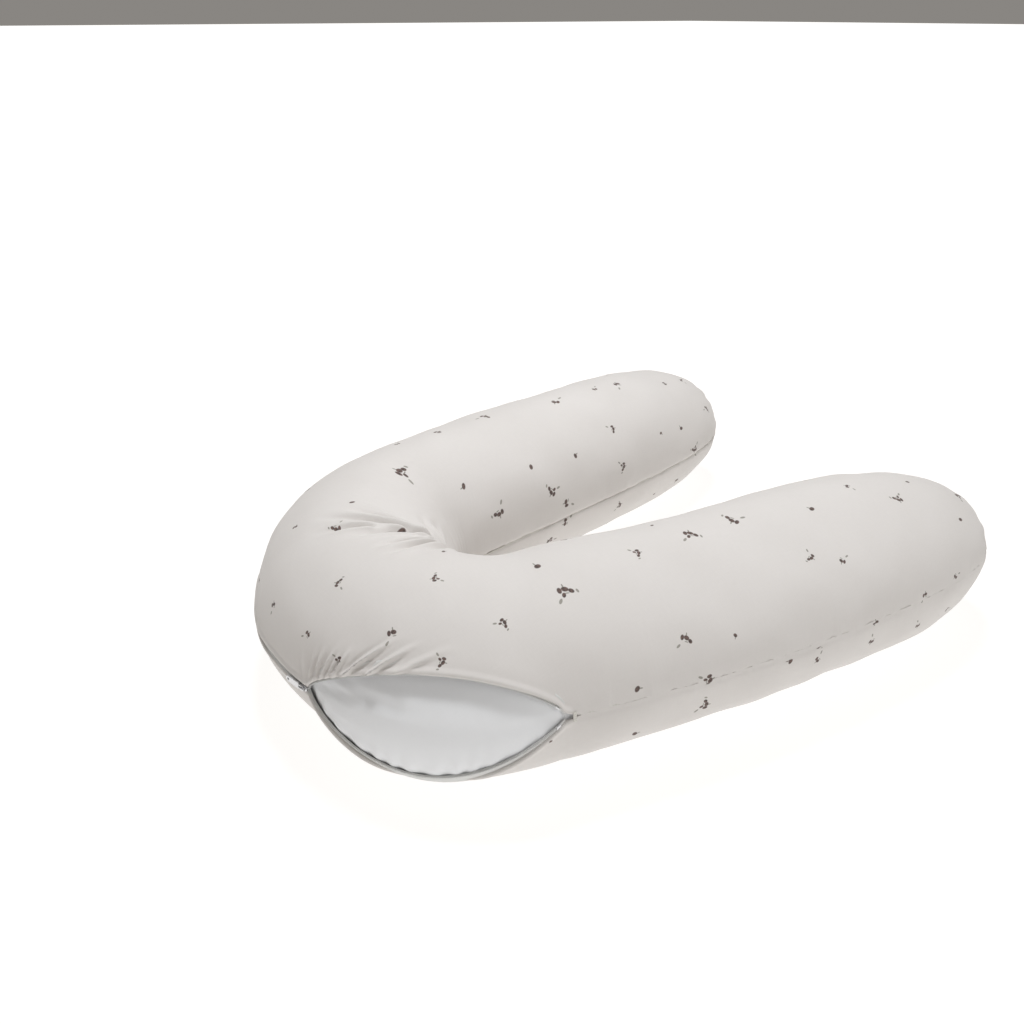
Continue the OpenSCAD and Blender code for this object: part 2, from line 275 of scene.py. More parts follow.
# Creases at the tight inner bend: start and end (s, angle), depth, width, bow
CREASES = [
    ((22, 142), (-76, 84), 9.2, 3.8, 5),
    ((16, 130), (-68, 68), 7.1, 3.4, 4),
    ((-20, 99), (-42, 64), 4.8, 3.2, 0),
    ((8, 132), (-14, 78), 5.7, 3.4, 0),
    ((24, 136), (20, 84), 5.5, 3.2, 2),
    ((34, 134), (38, 82), 6.0, 3.4, 2),
    ((52, 142), (60, 100), 3.8, 4.0, 0),
    ((-30, 152), (-108, 131), 6.0, 4.6, 4),
    ((-70, 158), (-140, 140), 4.5, 5.0, 3),
    ((0, -150), (-8, -92), 5.7, 5.0, 4),
    ((-60, -148), (-92, -88), 5.7, 5.0, 6),
    ((62, -150), (88, -96), 5.2, 5.0, -5),
]

# Ridges that rise from the upper lip, where the zip is pulled: start, end, height, width, bow
FAN = [
    ((34, 5), (29, 22), 3.5, 2.0, 0),
    ((39, 8), (41, 27), 4.9, 1.9, 0),
    ((44, 10), (47, 30), 5.9, 1.9, 0),
    ((49, 12), (57, 34), 6.3, 2.0, 0),
    ((54, 15), (60, 31), 3.6, 1.9, 0),
    ((59, 17), (67, 36), 5.6, 2.1, 0),
    ((67, 21), (98, 48), 9.0, 2.4, 1),
    ((82, 25), (112, 47), 8.5, 2.7, 1),
    ((100, 30), (136, 47), 4.1, 3.6, 2),
]


def fan(s, a):
    """The slider's fan: sharp ridges with broad hollows between them."""
    out = np.zeros(np.shape(a))
    for start, end, height, width, bow in FAN:
        t, across = line_share(s, a, start, end)
        inside = np.clip(t, 0, 1)
        across = across - bow * 4 * inside * (1 - inside)
        wide = width * (0.75 + 0.7 * inside)
        strength = smooth((t + 0.25) / 0.4) * smooth((1 - t) / 0.8)
        ridge = np.exp(-((across / wide) ** 2)) - 0.45 * np.exp(-((across / wide / 2.4) ** 2))
        out = out + height * strength * ridge
    return out


def puckers(s, distance, seed, reach=20.0):
    """Gathers across a seam: short ripples that die away from it."""
    rng = np.random.default_rng(seed)
    ripple = np.zeros_like(s)
    for length in (11.0, 15.0, 21.0, 29.0, 43.0):
        ripple = ripple + np.sin(2 * np.pi * s / (length * rng.uniform(0.9, 1.1)) + rng.uniform(0, 2 * np.pi))
    strength = 0.55 + 0.45 * np.sin(2 * np.pi * s / 260 + rng.uniform(0, 6))
    return ripple / 2.2 * strength * np.exp(-np.maximum(distance, 0) / reach)


FULLER = 5.5                      # how much the arms' crowns swell
LEAN = 9.0                        # how far the front arm's underside draws in
WAVES = 1.5
SMALL_WAVES = 0.6
OUTER_PUCKER = 0.8
INNER_PUCKER = 0.7
TIP_GATHER = 2.1


def stuffing_shape(s, a):
    """The swell of the arms' crowns and the front arm's underside that draws in, at its tip again."""
    fuller_s = smooth((s - 150) / 90) * smooth((760 - s) / 160)
    fuller_s = fuller_s + 0.8 * smooth((-s - 150) / 120) * smooth((700 + s) / 140)
    out = FULLER * fuller_s * smooth((a - 50) / 50) * smooth((185 - a) / 50)
    tip_s = smooth((s - 680) / 90) * np.clip(taper(s)[0] / 80, 0, 1)
    out = out - LEAN * tip_s * smooth((a + 95) / 45) * smooth((-8 - a) / 30)
    lean_s = smooth((s - 70) / 60) * smooth((720 - s) / 380)
    return out - LEAN * lean_s * smooth((a + 85) / 30) * smooth((-14 - a) / 26)


def tip_gathers(s, a):
    """Gathers that run into each tip."""
    tip = np.exp(-to_tip(s) / 26.0) * smooth(taper(s)[0] / 25)
    turn = np.radians(a)
    return TIP_GATHER * tip * (np.sin(turn * 13 + np.sin(turn * 3)) + 0.6 * np.sin(turn * 21 + 2))


def relief(s, a, panel):
    """How far the stuffed cloth stands out of the plain tube, in millimetres."""
    points = skin(s, a)
    near_tip = smooth(taper(s)[0] / 40)
    out = (WAVES * waves(points, 0.17, 12, 3) + SMALL_WAVES * waves(points, 0.06, 14, 4)) * near_tip
    out = out + stuffing_shape(s, a)
    for start, end, depth, width, bow in CREASES:
        out = out + fold(s, a, start, end, depth, width, bow)
    out = out + fan(s, a)
    outer = arc_mm(np.abs(a - seam(s)))
    inner = arc_mm(np.minimum(np.abs(a - INNER_SEAM), np.abs(a - INNER_SEAM + 360)))
    out = out + (1 - zipped(s)) * OUTER_PUCKER * puckers(s, outer, 11 if panel > 0 else 12) * near_tip
    tight = 1 + 1.3 * smooth((240 - np.abs(s)) / 100)
    out = out + INNER_PUCKER * tight * puckers(s, inner, 21 if panel > 0 else 22, 24.0) * near_tip
    return out + tip_gathers(s, a)


# Meshes

def grid_mesh(name, points, cloth, flip, normals, material, closed=False):
    """A mesh through a grid of points; a closed grid's columns run right round, and its ends are capped."""
    rows, cols = points.shape[:2]
    mesh = bpy.data.meshes.new(name)
    index = np.arange(rows * cols).reshape(rows, cols)
    if closed:
        index = np.concatenate([index, index[:, :1]], 1)
    quads = np.stack([index[:-1, :-1], index[1:, :-1], index[1:, 1:], index[:-1, 1:]], -1).reshape(-1, 4)
    if flip:
        quads = quads[:, ::-1]
    faces = quads.tolist()
    if closed:
        ends = [index[0, :-1].tolist(), index[-1, -2::-1].tolist()]
        faces += [face[::-1] for face in ends] if flip else ends
    mesh.from_pydata(points.reshape(-1, 3).tolist(), [], faces)
    layer = mesh.uv_layers.new(name="cloth")
    loops = np.empty(len(mesh.loops), np.int32)
    mesh.loops.foreach_get("vertex_index", loops)
    layer.data.foreach_set("uv", (cloth.reshape(-1, 2)[loops] * MM).astype(np.float32).ravel())
    mesh.shade_smooth()
    if normals is not None:
        mesh.normals_split_custom_set_from_vertices(normals.reshape(-1, 3).tolist())
    piece = bpy.data.objects.new(name, mesh)
    bpy.context.collection.objects.link(piece)
    if material:
        mesh.materials.append(material)
    return piece


def grid_normals(points, flip, closed=False):
    """Each point's normal, from its neighbours in the grid."""
    down = np.gradient(points, axis=0)
    if closed:
        across = np.roll(points, -1, axis=1) - np.roll(points, 1, axis=1)
    else:
        across = np.gradient(points, axis=1)
    normal = np.cross(down, across)
    if flip:
        normal = -normal
    size = np.linalg.norm(normal, axis=-1, keepdims=True)
    return normal / np.maximum(size, 1e-12)


# The cover's cloth settles over the stuffing

SIM_BELOW = -40.0                 # angles under this are counted on from the upper lip, right round
SIM_REACH = 330.0                 # how much of the tube is simulated, each way from the middle of the bend
SIM_CELL = 6.0
SIM_COLS = 110
SIM_FRAMES = 20
SIM_SMOOTH = 7                    # passes that take out ripples no wider than the grid's own cells
SIM_DEPTH = 1.4                   # what is left is made this much deeper
REST_BEND_R = 176.0               # the panels are cut for a gentler bend, so cloth gathers on the inside
MOST_MOVE = 0.014
BODY_DEPTH = 3.5                  # the stuffing that the cloth rests on
BODY_CELL = 9.0
CLOTH_SETTINGS = {
    "quality": 5, "mass": 0.0005, "tension_stiffness": 5, "compression_stiffness": 5, "shear_stiffness": 1,
    "bending_stiffness": 0.001, "tension_damping": 0.01, "compression_damping": 0.01, "air_damping": 0.5,
    "use_pressure": True, "uniform_pressure_force": 3.0, "vertex_group_mass": "held",
}


def plain_object(name, points, closed):
    return grid_mesh(name, points, np.zeros((*points.shape[:2], 2)), False, None, None, closed)


def softened(shift):
    """Smooths a grid of shifts along both of its directions."""
    for axis in (0, 1):
        for _ in range(SIM_SMOOTH):
            ends = np.pad(shift, [(1, 1) if axis == k else (0, 0) for k in range(3)], "edge")
            shift = (ends.take(range(0, shift.shape[axis]), axis) + 2 * shift
                     + ends.take(range(2, shift.shape[axis] + 2), axis)) / 4
    return shift


def settle():
    """Simulates the cover over the bend; gives the rows, the columns' shares and each point's shift."""
    s = np.arange(-SIM_REACH, SIM_REACH + 1, SIM_CELL)
    share = np.linspace(0, 1, SIM_COLS)
    first, last = upper(s, HEM_GAP * zipped(s)), 360 + lower(s, HEM_GAP * zipped(s))
    a = first[:, None] + (last - first)[:, None] * share
    along = np.broadcast_to(s[:, None], a.shape)
    lift = np.where(a < INNER_SEAM, upper_lift(along, a), lower_lift(along, a - 360))
    start = skin(along, a, 0.0, lift)
    cut = skin(along, a, 0.0, lift, REST_BEND_R)
    sheet = plain_object("settling_cloth", start, False)
    sheet.shape_key_add(name="Basis")
    rest = sheet.shape_key_add(name="Rest", from_mix=False)
    rest.data.foreach_set("co", cut.astype(np.float32).ravel())
    rest.value = 0.0
    held = sheet.vertex_groups.new(name="held")
    index = np.arange(a.size).reshape(a.shape)
    edges = np.concatenate([part.ravel() for part in (index[:, :2], index[:, -2:], index[:2], index[-2:])])
    held.add(np.unique(edges).tolist(), 1.0, "REPLACE")
    body_s = np.arange(-SIM_REACH - 20, SIM_REACH + 21, BODY_CELL)
    body_points = skin(body_s[:, None], np.arange(0, 360, 5.0)[None, :], -BODY_DEPTH)
    body = plain_object("settling_body", body_points, True)
    body.modifiers.new("hold", "COLLISION")
    body.collision.thickness_outer = 0.001
    cloth = sheet.modifiers.new("settle", "CLOTH")
    for key, value in CLOTH_SETTINGS.items():
        setattr(cloth.settings, key, value)
    cloth.settings.rest_shape_key = rest
    cloth.settings.effector_weights.gravity = 0
    cloth.collision_settings.distance_min = 0.0015
    for frame_number in range(1, SIM_FRAMES + 1):
        bpy.context.scene.frame_set(frame_number)
    moved_mesh = sheet.evaluated_get(bpy.context.evaluated_depsgraph_get()).to_mesh()
    moved = np.empty(a.size * 3)
    moved_mesh.vertices.foreach_get("co", moved)
    shift = moved.reshape(start.shape) - start
    size = np.linalg.norm(shift, axis=-1, keepdims=True)
    shift = shift / np.maximum(size, 1e-9) * MOST_MOVE * np.tanh(size / MOST_MOVE)
    for made in (sheet, body):
        bpy.data.objects.remove(made)
    bpy.context.scene.frame_set(1)
    return s, share, softened(shift) * SIM_DEPTH


def between_rows(values, at, where):
    """Smooth interpolation along the first axis: where is in rows."""
    k = np.clip(np.floor(where).astype(int), 0, len(values) - 2)
    t = np.clip(where - k, 0, 1)[..., None]
    near = [np.clip(k + step, 0, len(values) - 1) for step in (-1, 0, 1, 2)]
    weights = (-t**3 + 2 * t**2 - t, 3 * t**3 - 5 * t**2 + 2, -3 * t**3 + 4 * t**2 + t, t**3 - t**2)
    return sum(w * values[n, at] for w, n in zip(weights, near)) / 2


def settled(s, a):
    """The settled cloth's shift at points of the cover, in metres."""
    if SETTLED is None:
        return 0.0
    sim_s, share, shift = SETTLED
    turn = np.where(a < SIM_BELOW, a + 360, a)
    turn = np.where(turn < upper(s, 0) - 1, turn + 360, turn)
    first, last = upper(s, HEM_GAP * zipped(s)), 360 + lower(s, HEM_GAP * zipped(s))
    column = np.clip((turn - first) / (last - first), 0, 1) * (len(share) - 1)
    row = np.clip((s - sim_s[0]) / SIM_CELL, 0, len(sim_s) - 1)
    low = np.clip(np.floor(column).astype(int), 0, len(share) - 2)
    part = (column - low)[..., None]
    part = smooth(part) * 0.5 + part * 0.5
    found = between_rows(shift, low, row) * (1 - part) + between_rows(shift, low + 1, row) * part
    edge = arc_mm(np.minimum(turn - first, last - turn))
    inside = smooth(edge / 30) * (np.abs(s) < SIM_REACH)
    return found * inside[..., None]


ARM_STEP = 4.0
BEND_STEP = 2.4
OPENING_STEP = 1.15


def rows_along():
    """Rows along the whole tube: fine at the opening, and close together towards the blunt tips."""
    def tip(side):
        whole = float(arc_len(np.array(side)) + by_side(np.array(side), ARM_LEN))
        angle = np.radians(np.concatenate([np.arange(40, 6, -2.2), [5.2, 3.6, 2.4, 1.4, 0.7, 0.3]]))
        return side * (whole - TAPER_LEN * (1 - np.cos(angle) ** (2 / TAPER_POWER)))
    front, back = tip(1.0), tip(-1.0)
    middle = np.concatenate([
        np.arange(back[0] + 3, -SPLIT_AT, ARM_STEP), np.arange(-SPLIT_AT, -20, BEND_STEP),
        np.arange(-20, 140, OPENING_STEP), np.arange(140, SPLIT_AT, BEND_STEP),
        np.arange(SPLIT_AT, front[0] - 3, ARM_STEP)])
    return np.concatenate([back[::-1], middle, front])


PINCH = 0.06                      # the last row's size, as a share of the one before
PINCH_IN = 4.0                    # and how far it is drawn in, in millimetres


def pinch_tips(points, s):
    """Adds a row at each tip that draws the gathered cloth in to a point."""
    def drawn(row, at):
        away = spine(np.array(at))[1]
        core = row.mean(axis=0)
        inner = core + (row - core) * PINCH
        inner[:, :2] -= away * PINCH_IN * MM
        return inner
    return np.concatenate([[drawn(points[0], s[0])], points, [drawn(points[-1], s[-1])]])


# How a panel turns in at its edges: distances from the edge and depths, in millimetres
FLAT_EDGE = [
    (0.0, -10.0), (0.0, -6.0), (0.0, -2.4), (-0.02, -0.25),
    (0.05, -0.02), (1.0, 0.0), (4.0, 0.0), (8.0, 0.0),
]
SEAM_EDGE = [
    (0.3, -10.0), (0.2, -6.0), (0.1, -3.2), (0.7, -1.8),
    (1.8, -0.9), (3.4, -0.35), (5.4, -0.1), (8.0, 0.0),
]
HEM_EDGE = [
    (20.0, -3.2), (8.0, -3.2), (1.0, -3.0), (-0.8, -1.3),
    (-0.2, 0.7), (1.8, 1.8), (4.2, 1.5), (6.4, 0.2),
]
TURNED_IN = -2.5
PANEL_COLS = 118


def panel_edge(s, panel):
    """A panel's outer edge, as an angle from its own side."""
    gap = HEM_GAP * zipped(s)
    if panel > 0:
        return upper(s, gap + UPPER_BAND * lens(s))
    return -lower(s, gap + LOWER_BAND * lens(s))


def panel_grid(s, panel):
    """A cover panel's points from its outer edge to the inner seam, and where they lie on the flat cloth."""
    flat_d, flat_off = np.array(FLAT_EDGE).T
    seam_d, seam_off = np.array(SEAM_EDGE).T
    hem_d, hem_off = np.array(HEM_EDGE).T
    zip_share = zipped(s)[:, None]
    edge_d = flat_d * (1 - zip_share) + hem_d * zip_share
    edge_off = flat_off * (1 - zip_share) + hem_off * zip_share
    end = INNER_SEAM if panel > 0 else 360 - INNER_SEAM
    first = panel_edge(s, panel)[:, None] + deg(edge_d)
    last = np.broadcast_to(end - deg(seam_d[::-1]), (len(s), len(seam_d)))
    share = np.linspace(0, 1, PANEL_COLS + 2)[1:-1]
    main = first[:, -1:] + (last[:, :1] - first[:, -1:]) * share
    a = panel * np.concatenate([first, main, last], 1)
    off = np.concatenate([edge_off, np.zeros_like(main), np.broadcast_to(seam_off[::-1], last.shape)], 1)
    rows = np.broadcast_to(s[:, None], a.shape)
    lift = upper_lift(rows, a) if panel > 0 else lower_lift(rows, a)
    # the turned-in edges follow the relief of the face next to them only in part
    followed = np.where(off < TURNED_IN, 0.35, 1.0)
    points = skin(rows, a, off, lift + relief(rows, a, panel) * followed) + settled(rows, a)
    points[..., 2] = np.maximum(points[..., 2], np.maximum(-off, 0) * MM)
    return points, cloth_map(rows, a)


def arm_blend(piece):
    """Bakes a piece of an arm's transform into its mesh."""
    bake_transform(piece)


def three_pieces(name, points, cloth, flip, s, material, closed=False):
    """Cuts a whole-length grid into the bend's piece, which rides the bend, and the arms' pieces."""
    normals = grid_normals(points, flip, closed)
    back_cut, front_cut = np.argmin(np.abs(s + SPLIT_AT)), np.argmin(np.abs(s - SPLIT_AT))
    parts = (("back_arm", slice(0, back_cut + 1), s[back_cut]),
             ("bend", slice(back_cut, front_cut + 1), None),
             ("front_arm", slice(front_cut, len(s)), s[front_cut]))
    for part, rows, cut in parts:
        piece = grid_mesh(f"{name}_{part}_shape", points[rows], cloth[rows], flip, normals[rows], material,
                          closed)
        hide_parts(f"{name}_{part}")
        if cut is None:
            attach(piece, "bend")
        else:
            arm_blend(piece)


# Materials

class Shader:
    """A node material with short calls for its nodes."""

    def __init__(self, name, roughness=0.9, sheen=0.0, metallic=0.0):
        self.material = bpy.data.materials.new(name)
        self.material.use_nodes = True
        self.tree = self.material.node_tree
        self.surface = self.tree.nodes["Principled BSDF"]
        self.surface.inputs["Roughness"].default_value = roughness
        self.surface.inputs["Sheen Weight"].default_value = sheen
        self.surface.inputs["Metallic"].default_value = metallic

    def node(self, kind, inputs=None, **settings):
        made = self.tree.nodes.new("ShaderNode" + kind)
        for key, value in settings.items():
            setattr(made, key, value)
        for key, value in (inputs or {}).items():
            self.put(value, made.inputs[key])
        return made

    def put(self, value, socket):
        if isinstance(value, bpy.types.NodeSocket):
            self.tree.links.new(value, socket)
        else:
            socket.default_value = value

    def calc(self, operation, *values):
        return self.node("Math", dict(enumerate(values)), operation=operation).outputs[0]

    def vector(self, operation, a, b=None, scale=None):
        inputs = {0: a}
        if b is not None:
            inputs[1] = b
        if scale is not None:
            inputs["Scale"] = scale
        made = self.node("VectorMath", inputs, operation=operation)
        return made.outputs["Value" if operation in ("LENGTH", "DOT_PRODUCT") else "Vector"]

    def mix(self, share, a, b):
        return self.node("Mix", {0: share, 6: a, 7: b}, data_type="RGBA").outputs[2]

    def ramp(self, value, low, high, to_low=0.0, to_high=1.0):
        inputs = {"Value": value, "From Min": low, "From Max": high, "To Min": to_low, "To Max": to_high}
        return self.node("MapRange", inputs, interpolation_type="SMOOTHSTEP").outputs[0]

    def noise(self, where, scale, detail=2.0):
        return self.node("TexNoise", {"Vector": where, "Scale": scale, "Detail": detail}).outputs[0]

    def color(self, value):
        self.put(value, self.surface.inputs["Base Color"])

    def bump(self, height, distance, strength, below=None):
        inputs = {"Height": height, "Distance": distance, "Strength": strength}
        if below is not None:
            inputs["Normal"] = below
        return self.node("Bump", inputs).outputs[0]

    def normal(self, value):
        self.put(value, self.surface.inputs["Normal"])


def weave(shader, where, pitch):
    """The height of a plain weave that repeats after a pitch, in metres."""
    split = shader.node("SeparateXYZ", {0: where})
    phases = [shader.calc("MULTIPLY", split.outputs[k], 2 * math.pi / pitch) for k in (0, 1)]
    return shader.calc("MULTIPLY", *[shader.calc("SINE", phase) for phase in phases])


# A printed sprig's marks: place from its middle, half sizes, turn in degrees, how often the mark is left out
BUDS = [
    ((0.0, 0.0), (2.0, 2.7), -32, 0.0),
    ((3.4, -2.2), (1.7, 2.5), 38, 0.25),
    ((-1.8, 4.1), (1.7, 2.3), -12, 0.5),
    ((4.4, 2.2), (1.4, 2.0), 60, 0.72),
]
STROKES = [
    ((-1.4, -2.8), (0.6, 1.6), 35, 0.1),
    ((1.6, 3.0), (0.5, 1.8), -48, 0.3),
    ((10.0, 3.0), (1.1, 2.3), 74, 0.35),
    ((-4.6, 7.4), (0.9, 1.7), 20, 0.6),
]
SPRIG_SPACING = 0.078             # in metres


def sprigs(shader, where):
    """Masks of the printed buds and strokes: one sprig in each cell, turned its own way."""
    scaled = shader.vector("SCALE", where, scale=1 / SPRIG_SPACING)
    cells = shader.node("TexVoronoi", {"Vector": scaled, "Scale": 1.0, "Randomness": 0.75},
                        voronoi_dimensions="2D", feature="F1")
    chance = shader.node("SeparateColor", {0: cells.outputs["Color"]})
    local = shader.vector("SCALE", shader.vector("SUBTRACT", scaled, cells.outputs["Position"]),
                          scale=SPRIG_SPACING / MM)
    turned = shader.node("VectorRotate", {"Vector": local, "Angle": shader.calc(
        "MULTIPLY", chance.outputs[0], 2 * math.pi)}, rotation_type="Z_AXIS").outputs[0]
    size = shader.ramp(chance.outputs[2], 0.0, 1.0, 1.15, 0.72)
    sizes = shader.node("CombineXYZ", {0: size, 1: size, 2: 0.0}).outputs[0]
    turned = shader.vector("MULTIPLY", turned, sizes)

    def shape(place, half, turn, left_out):
        moved = shader.vector("SUBTRACT", turned, (*place, 0.0))
        lined = shader.node("VectorRotate", {"Vector": moved, "Angle": math.radians(turn)},
                            rotation_type="Z_AXIS").outputs[0]
        reach = shader.vector("LENGTH", shader.vector("MULTIPLY", lined, (1 / half[0], 1 / half[1], 0.0)))
        shown = shader.calc("GREATER_THAN", chance.outputs[1], left_out)
        return shader.calc("MULTIPLY", shader.ramp(reach, 0.8, 1.15, 1.0, 0.0), shown)

    def all_of(shapes):
        total = 0.0
        for entry in shapes:
            total = shader.calc("MAXIMUM", total, shape(*entry))
        return total

    return all_of(BUDS), all_of(STROKES)


def cotton(name, light, dark, pitch, printed):
    """Plain woven cotton; light and dark are its colour's two ends, which drift over the cloth."""
    shader = Shader(name, roughness=0.92, sheen=0.12)
    where = shader.node("UVMap", uv_map="cloth").outputs[0]
    drift = shader.noise(where, 9.0)
    slubs = shader.noise(shader.vector("MULTIPLY", where, (900.0, 90.0, 1.0)), 1.0)
    slubs_across = shader.noise(shader.vector("MULTIPLY", where, (90.0, 900.0, 1.0)), 1.0)
    yarn = shader.calc("ADD", shader.calc("MULTIPLY", slubs, 0.5), shader.calc("MULTIPLY", slubs_across, 0.5))
    share = shader.calc("ADD", shader.calc("MULTIPLY", drift, 0.5), shader.calc("MULTIPLY", yarn, 0.5))
    color = shader.mix(shader.ramp(share, 0.3, 0.7), dark, light)
    if printed:
        buds, strokes = sprigs(shader, where)
        tone = shader.noise(where, 420.0)
        ink = shader.mix(shader.ramp(tone, 0.35, 0.65), (0.040, 0.022, 0.018, 1), (0.13, 0.072, 0.058, 1))
        color = shader.mix(shader.calc("MULTIPLY", strokes, 0.75), color, (0.20, 0.19, 0.15, 1))
        color = shader.mix(shader.calc("MULTIPLY", buds, 0.94), color, ink)
    shader.color(color)
    threads = shader.bump(weave(shader, where, pitch), 0.00008, 0.5)
    shader.normal(shader.bump(yarn, 0.00025, 0.35, threads))
    return shader.material


def tape_cloth():
    """Herringbone-like woven tape."""
    shader = Shader("zip_tape_weave", roughness=0.8, sheen=0.1)
    where = shader.node("UVMap", uv_map="cloth").outputs[0]
    ribs = weave(shader, where, 0.0011)
    shader.color(shader.mix(shader.ramp(ribs, -1.0, 1.0), (0.70, 0.70, 0.68, 1), (0.80, 0.80, 0.785, 1)))
    shader.normal(shader.bump(ribs, 0.0002, 0.6))
    return shader.material


def coil_plastic():
    shader = Shader("zip_coil_nylon", roughness=0.4)
    where = shader.node("TexCoord").outputs["Object"]
    shader.color(shader.mix(shader.noise(where, 160.0), (0.60, 0.60, 0.59, 1), (0.68, 0.68, 0.67, 1)))
    shader.normal(shader.bump(shader.noise(where, 2500.0), 0.00005, 0.3))
    return shader.material


def spun_thread():
    shader = Shader("spun_thread", roughness=0.7, sheen=0.1)
    where = shader.node("TexCoord").outputs["Object"]
    plies = shader.node("TexWave", {"Vector": where, "Scale": 260.0, "Distortion": 1.0},
                        bands_direction="DIAGONAL").outputs[1]
    shader.color(shader.mix(plies, (0.60, 0.58, 0.53, 1), (0.74, 0.72, 0.67, 1)))
    shader.normal(shader.bump(plies, 0.0002, 0.6))
    return shader.material


def fibre():
    shader = Shader("polyester_fibre", roughness=0.95, sheen=0.2)
    where = shader.node("TexCoord").outputs["Object"]
    tangle = shader.noise(where, 240.0, 6.0)
    shader.color(shader.mix(tangle, (0.78, 0.78, 0.76, 1), (0.90, 0.90, 0.88, 1)))
    shader.normal(shader.bump(tangle, 0.002, 0.5))
    return shader.material


def plated_zinc():
    shader = Shader("plated_zinc", roughness=0.28, metallic=1.0)
    where = shader.node("TexCoord").outputs["Object"]
    scuffs = shader.noise(shader.vector("MULTIPLY", where, (200.0, 200.0, 1400.0)), 1.0, 4.0)
    shader.color(shader.mix(scuffs, (0.58, 0.58, 0.59, 1), (0.74, 0.74, 0.75, 1)))
    shader.put(shader.ramp(scuffs, 0.3, 0.7, 0.22, 0.42), shader.surface.inputs["Roughness"])
    shader.normal(shader.bump(scuffs, 0.00003, 0.3))
    return shader.material


cover_cloth = cotton("cover_cotton", (0.735, 0.706, 0.682, 1), (0.700, 0.670, 0.644, 1), 0.0008, True)
casing_cloth = cotton("casing_cotton", (0.93, 0.94, 0.955, 1), (0.90, 0.91, 0.925, 1), 0.0006, False)
tape = tape_cloth()
coil = coil_plastic()
thread = spun_thread()
stuffing = fibre()
zinc = plated_zinc()


# The cover: two panels

SETTLED = settle()
rows = rows_along()
capped = np.concatenate([rows[:1], rows, rows[-1:]])


def cap_cloth(cloth):
    """The places on the flat cloth, with those of pinch_tips' rows."""
    return np.concatenate([cloth[:1], cloth, cloth[-1:]])


for panel, name in ((1, "cover_top"), (-1, "cover_bottom")):
    points, cloth = panel_grid(rows, panel)
    three_pieces(name, pinch_tips(points, rows), cap_cloth(cloth), panel < 0, capped, cover_cloth)


# The inner cushion: two casing panels and the filling

CASING_SEAM = -45.0
CASING_COLS = 96
LIP_FILL = 2.5                    # how far the casing fills the gap behind the lower lip
CASING_WAVES = 0.9
SLACK = 0.8                       # creases shallower than this don't press on the cushion
CASING_FOLDS = [
    ((42, 5), (112, 12), 1.7, 4.2, 3),
    ((60, 16), (134, 11), 1.5, 4.6, -3),
    ((46, -2), (96, -10), 1.0, 4.0, -2),
    ((188, 8), (140, 4), 0.9, 4.0, -2),
]


def hollow(s, a):
    """How far the cushion sinks in under the upper lip."""
    return 6.5 * lens(s) ** 0.5 * np.exp(-(((a - upper(s, 0) - 2) / 13) ** 2))


def give_way(s, a):
    """How far the cushion gives way under the cover's creases, everywhere but in the opening."""
    bare = (lens(s) > 0) * smooth((a - lower(s, 0) + 8) / 8) * smooth((upper(s, 0) + 8 - a) / 8)
    return np.minimum(relief(s, a, 1) + SLACK, 0) * (1 - bare)


def scallop(s):
    """Gathers along the lower lip, where the casing falls away from the tape."""
    return 0.8 * (1 + np.sin(2 * np.pi * s / 11.3 + 1.2 * np.sin(2 * np.pi * s / 47)))


def casing_grid(s, first, last):
    """A casing panel's points between two seams' angles, and where they lie on the flat cloth."""
    a = first + (last - first) * np.linspace(0, 1, CASING_COLS)[None, :]
    along, a = np.broadcast_arrays(s[:, None], a)
    out = CASING_WAVES * waves(skin(along, a), 0.15, 10, 7) * smooth(taper(along)[0] / 40)
    for start, end, depth, width, bow in CASING_FOLDS:
        out = out + fold(along, a, start, end, depth, width, bow)
    low, high = lower(along, 0), upper(along, 0)
    gap = LIP_BULGE * lens(along) ** 0.8 * (1 - smooth((a - low) / (high - low + 12)))
    out = out + np.where(a < low, lower_lift(along, np.minimum(a, low)), gap)
    by_lip = lens(along) ** 0.3 * np.exp(-(((a - low - 1) / 7) ** 2))
    out = out + (LIP_FILL - scallop(along)) * by_lip - hollow(along, a)
    edges = arc_mm(np.minimum(np.abs(a - first), np.abs(a - last)))
    sunk = -1.8 * np.exp(-((edges / 3.0) ** 2))
    points = skin(along, a, -CASING_DEPTH, out + sunk + give_way(along, a)) + settled(along, a)
    points[..., 2] = np.maximum(points[..., 2], CASING_DEPTH * MM)
    return points, cloth_map(along, a)


for name, first, last in (("casing_top", CASING_SEAM, INNER_SEAM),
                          ("casing_bottom", INNER_SEAM - 360, CASING_SEAM)):
    points, cloth = casing_grid(rows, first, last)
    three_pieces(name, pinch_tips(points, rows), cap_cloth(cloth), False, capped, casing_cloth)

# The filling fills the casing and lies loosely in it
FILLING_DEPTH = 8.5
ring = np.arange(0, 360, 7.5)
coarse = np.concatenate([rows[:12:2], rows[12:-12:3], rows[-12::2]])
along, around = np.broadcast_arrays(coarse[:, None], ring[None, :])
around = np.where(around > INNER_SEAM, around - 360, around)
lumps = 1.2 * waves(skin(along, around), 0.05, 12, 17) - 1.2 - 1.3 * hollow(along, around)
lumps = lumps + 1.2 * give_way(along, around)
packed = skin(along, around, -FILLING_DEPTH, lumps) + settled(along, around)
packed[..., 2] = np.maximum(packed[..., 2], FILLING_DEPTH * MM)
three_pieces("filling", packed, np.zeros((*along.shape, 2)), False, coarse, stuffing,
             closed=True)


# Thread, tapes and coils

def round_section(s, angle, depth, radius, sides=8):
    """Points of a round thread along the tube at an angle, depth below the cover's face."""
    turn = np.linspace(0, 2 * np.pi, sides, endpoint=False)
    a = angle[:, None] + deg(radius * np.sin(turn))[None, :]
    off = np.broadcast_to(-depth + radius * np.cos(turn), a.shape)
    return skin(np.broadcast_to(s[:, None], a.shape), a, off)


